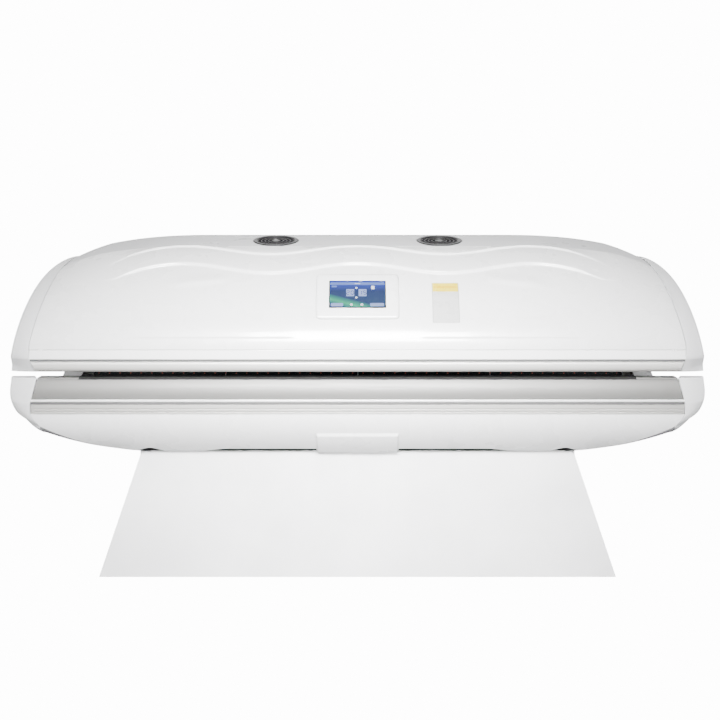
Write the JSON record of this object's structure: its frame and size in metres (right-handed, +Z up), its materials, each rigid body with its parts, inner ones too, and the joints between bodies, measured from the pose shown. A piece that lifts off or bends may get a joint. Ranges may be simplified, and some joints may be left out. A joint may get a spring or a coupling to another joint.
{
  "type": "red light therapy bed",
  "caption": "Clamshell light therapy bed: arched lid hinged over a dished bench with LED panels behind acrylic, on a flared pedestal, with touch console, vents and gas springs.",
  "frame": {"origin": "centre of the footprint on the floor", "axes": "+X along the bed to the right seen from the front, -Y towards the user at the front, +Z up"},
  "size_m": [2.198, 1.15, 1.079],
  "materials": {
    "white_shell": "moulded acrylic-faced shell, satin gloss white",
    "roof_grey": "moulded roof panel, pale grey",
    "white_belt": "gloss white belt",
    "cap_white": "moulded end cap, white",
    "brushed_rail": "brushed and clear anodised extrusion",
    "acrylic": "clear cast acrylic sheet",
    "led_board": "white-masked aluminium circuit board",
    "light_bar": "LED lens bars",
    "heat_sink": "extruded heat sink, plain",
    "rib_plate": "folded sheet ribs",
    "frame_steel": "powder-coated steel tube",
    "pan_metal": "pressed floor pan",
    "panel_white": "powder-coated sheet, matt white",
    "deck_dark": "dark laminate deck board",
    "black_plastic": "moulded nylon, black",
    "driver_case": "potted driver cases",
    "panel_grey": "powder-coated sheet box",
    "steel_zinc": "zinc-plated steel",
    "chrome_ring": "chrome-plated ring and guard",
    "screen_glass": "display behind glass",
    "card_white": "laminated card, blank",
    "spring_black": "painted gas-spring cylinder",
    "rod_chrome": "hard-chromed rod"
  },
  "bodies": {
    "bench": {"pedestal_front_panel": "panel_white", "pedestal_rear_panel": "panel_white", "pedestal_left_panel": "panel_white", "pedestal_right_panel": "panel_white", "pedestal_frame": "frame_steel", "pedestal_deck": "deck_dark", "led_drivers": "driver_case", "control_box": "panel_grey", "supply_gland": "black_plastic", "mains_switch_body": "black_plastic", "bench_floor_pan": "pan_metal", "bench_front_shell": "white_shell", "bench_rear_shell": "white_shell", "bench_left_cap": "cap_white", "bench_right_cap": "cap_white", "bench_front_rail": "brushed_rail", "bench_rear_rail": "brushed_rail", "bench_ribs": "rib_plate", "bench_led_boards": "led_board", "bench_light_bars": "light_bar", "bench_heat_sinks": "heat_sink", "bench_acrylic": "acrylic", "hinge_bench_leaves": "steel_zinc", "hinge_pins": "steel_zinc", "bench_spring_studs": "steel_zinc"},
    "lid": {"hinge_lid_leaves": "steel_zinc", "lid_front_shell": "white_shell", "lid_roof_panel": "roof_grey", "lid_rear_shell": "white_shell", "lid_left_cap": "cap_white", "lid_right_cap": "cap_white", "lid_front_belt": "white_belt", "lid_front_rail": "brushed_rail", "lid_rear_rail": "brushed_rail", "lid_ribs": "rib_plate", "lid_led_boards": "led_board", "lid_light_bars": "light_bar", "lid_heat_sinks": "heat_sink", "lid_acrylic": "acrylic", "console_bezel": "cap_white", "touchscreen": "screen_glass", "notice_card": "card_white", "left_vent_ring": "chrome_ring", "right_vent_ring": "chrome_ring", "left_fan_frame": "black_plastic", "right_fan_frame": "black_plastic", "lid_spring_studs": "steel_zinc"},
    "left_fan_rotor": {"left_fan_rotor": "black_plastic"},
    "right_fan_rotor": {"right_fan_rotor": "black_plastic"},
    "left_spring_cylinder": {"left_spring_cylinder": "spring_black"},
    "right_spring_cylinder": {"right_spring_cylinder": "spring_black"},
    "left_spring_rod": {"left_spring_rod": "rod_chrome"},
    "right_spring_rod": {"right_spring_rod": "rod_chrome"},
    "front_left_foot": {"front_left_foot": "black_plastic"},
    "front_right_foot": {"front_right_foot": "black_plastic"},
    "rear_left_foot": {"rear_left_foot": "black_plastic"},
    "rear_right_foot": {"rear_right_foot": "black_plastic"},
    "mains_switch_rocker": {"mains_switch_rocker": "black_plastic"}
  },
  "joints": [
    {"name": "lid_hinge", "type": "hinge", "parent": "bench", "child": "lid", "pos_m": [0, 0.562, 0.65], "axis": [-1, 0, 0], "range_deg": [0, 45], "stiffness_Nm_per_rad": 217.5, "springref_deg": 106.57},
    {"name": "left_spring_swivel", "type": "hinge", "parent": "bench", "child": "left_spring_cylinder", "pos_m": [-1.062, 0.465, 0.54], "axis": [-1, 0, 0], "range_deg": [0, 22.5]},
    {"name": "left_spring_slide", "type": "slide", "parent": "left_spring_cylinder", "child": "left_spring_rod", "axis": [0, -0.077, 0.997], "range_m": [0, 0.07]},
    {"name": "right_spring_swivel", "type": "hinge", "parent": "bench", "child": "right_spring_cylinder", "pos_m": [1.062, 0.465, 0.54], "axis": [-1, 0, 0], "range_deg": [0, 22.5]},
    {"name": "right_spring_slide", "type": "slide", "parent": "right_spring_cylinder", "child": "right_spring_rod", "axis": [0, -0.077, 0.997], "range_m": [0, 0.07]},
    {"name": "left_fan_spin", "type": "hinge", "parent": "lid", "child": "left_fan_rotor", "pos_m": [-0.276, -0.1633, 1.06648], "axis": [0, -0.1906, 0.9817], "continuous": true},
    {"name": "right_fan_spin", "type": "hinge", "parent": "lid", "child": "right_fan_rotor", "pos_m": [0.276, -0.1633, 1.06648], "axis": [0, -0.1906, 0.9817], "continuous": true},
    {"name": "front_left_foot_screw", "type": "slide", "parent": "bench", "child": "front_left_foot", "axis": [0, 0, -1], "range_m": [-0.002, 0.015]},
    {"name": "front_right_foot_screw", "type": "slide", "parent": "bench", "child": "front_right_foot", "axis": [0, 0, -1], "range_m": [-0.002, 0.015]},
    {"name": "rear_left_foot_screw", "type": "slide", "parent": "bench", "child": "rear_left_foot", "axis": [0, 0, -1], "range_m": [-0.002, 0.015]},
    {"name": "rear_right_foot_screw", "type": "slide", "parent": "bench", "child": "rear_right_foot", "axis": [0, 0, -1], "range_m": [-0.002, 0.015]},
    {"name": "mains_switch_rock", "type": "hinge", "parent": "bench", "child": "mains_switch_rocker", "pos_m": [0.4, 0.55002, 0.06402], "axis": [-1, 0, 0], "range_deg": [0, 16]}
  ],
  "couplings": [
    {"joint": "left_spring_swivel", "follows": "lid_hinge", "ratio": 0.48},
    {"joint": "left_spring_slide", "follows": "lid_hinge", "m_per_rad": 0.08722},
    {"joint": "right_spring_swivel", "follows": "lid_hinge", "ratio": 0.48},
    {"joint": "right_spring_slide", "follows": "lid_hinge", "m_per_rad": 0.08722}
  ]
}
